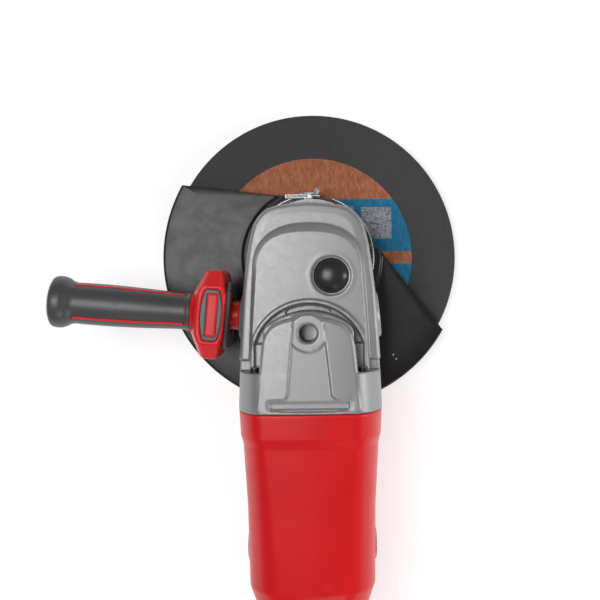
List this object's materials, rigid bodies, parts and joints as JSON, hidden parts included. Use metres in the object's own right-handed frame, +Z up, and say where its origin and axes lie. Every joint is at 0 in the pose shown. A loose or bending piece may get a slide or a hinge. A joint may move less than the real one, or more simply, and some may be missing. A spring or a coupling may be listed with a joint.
{
  "type": "angle grinder",
  "caption": "Large two-handed angle grinder fitted with a cut-off wheel and a turning half-round guard, for cutting metal and masonry.",
  "frame": {"origin": "centre of the spindle's free end face", "axes": "+Z up the spindle, away from the wheel; +Y to the tool's front, away from the rear handle; +X to the right, away from the side handle"},
  "size_m": [0.3105, 0.579, 0.1335],
  "materials": {
    "cast_alloy": "satin cast and blasted",
    "red_nylon": "satin moulded",
    "black_rubber": "fine grained",
    "black_nylon": "fine grained",
    "guard_steel": "satin black coating",
    "bright_steel": "bright plated",
    "ground_steel": "turned and ground",
    "black_steel": "blackened",
    "abrasive": "rough, fibre reinforced",
    "laminations": "stacked sheet",
    "copper": "enamelled wire",
    "carbon": "dull",
    "brass": "bright"
  },
  "bodies": {
    "housing": {"gear_case": "cast_alloy", "bearing_flange": "cast_alloy", "bearing_flange_screw_1": "black_steel", "bearing_flange_screw_2": "black_steel", "bearing_flange_screw_3": "black_steel", "bearing_flange_screw_4": "black_steel", "gear_case_screw_1": "black_steel", "gear_case_screw_2": "black_steel", "gear_case_screw_3": "black_steel", "gear_case_screw_4": "black_steel", "spindle_bearing": "bright_steel", "spindle_top_bearing": "bright_steel", "pinion_bearing": "bright_steel", "rear_bearing": "bright_steel", "air_baffle": "black_nylon", "motor_housing": "red_nylon", "stator_core": "laminations", "field_coil_upper": "copper", "field_coil_lower": "copper", "brush_holder_left": "brass", "brush_holder_right": "brass", "carbon_brush_left": "carbon", "carbon_brush_right": "carbon", "side_handle_stud": "ground_steel", "side_handle_core": "red_nylon", "side_handle_grip": "black_rubber", "rear_handle_left": "red_nylon", "rear_handle_right": "red_nylon", "rear_handle_screw_1": "black_steel", "rear_handle_screw_2": "black_steel", "rear_handle_screw_3": "black_steel", "rear_handle_screw_4": "black_steel", "switch_body": "black_nylon", "trigger_pin": "ground_steel", "cord_gland": "black_rubber", "lock_spring": "bright_steel"},
    "spindle": {"spindle": "ground_steel", "ring_gear": "ground_steel", "inner_flange": "ground_steel", "cut_off_disc": "abrasive", "clamp_nut": "ground_steel"},
    "armature": {"armature_shaft": "ground_steel", "pinion_gear": "ground_steel", "cooling_fan": "black_nylon", "armature_core": "laminations", "armature_winding_front": "copper", "armature_winding_rear": "copper", "commutator": "copper"},
    "guard": {"guard_shell": "guard_steel", "clamp_band": "bright_steel", "clamp_pin": "ground_steel"},
    "clamp_lever": {"clamp_lever": "bright_steel"},
    "lock_button": {"lock_button": "black_nylon", "lock_pin": "ground_steel"},
    "trigger": {"trigger": "black_nylon"},
    "trigger_lock_off": {"trigger_lock_off": "red_nylon"}
  },
  "joints": [
    {"name": "spindle_spin", "type": "hinge", "parent": "housing", "child": "spindle", "pos_m": [0, 0, 0], "axis": [0, 0, 1], "continuous": true},
    {"name": "armature_spin", "type": "hinge", "parent": "housing", "child": "armature", "pos_m": [0, 0, 0.084], "axis": [0, 1, 0], "continuous": true},
    {"name": "guard_turn", "type": "hinge", "parent": "housing", "child": "guard", "pos_m": [0, 0, 0.03], "axis": [0, 0, 1], "range_deg": [-60, 120]},
    {"name": "clamp_lever_swing", "type": "hinge", "parent": "guard", "child": "clamp_lever", "pos_m": [0.00453, 0.0518, 0.034], "axis": [0, 0, -1], "range_deg": [0, 100]},
    {"name": "lock_button_press", "type": "slide", "parent": "housing", "child": "lock_button", "axis": [0, 0, -1], "range_m": [0, 0.0045], "stiffness_N_per_m": 800, "springref_m": -0.002, "deforming": ["lock_spring"]},
    {"name": "trigger_pull", "type": "hinge", "parent": "housing", "child": "trigger", "pos_m": [0, -0.29, 0.068], "axis": [-1, 0, 0], "range_deg": [0, 6], "stiffness_Nm_per_rad": 6, "springref_deg": -2.86},
    {"name": "trigger_lock_slide", "type": "slide", "parent": "trigger", "child": "trigger_lock_off", "axis": [0, 1, 0], "range_m": [0, 0.003], "stiffness_N_per_m": 300, "springref_m": -0.001}
  ],
  "couplings": [
    {"joint": "armature_spin", "follows": "spindle_spin", "ratio": -4.1}
  ]
}
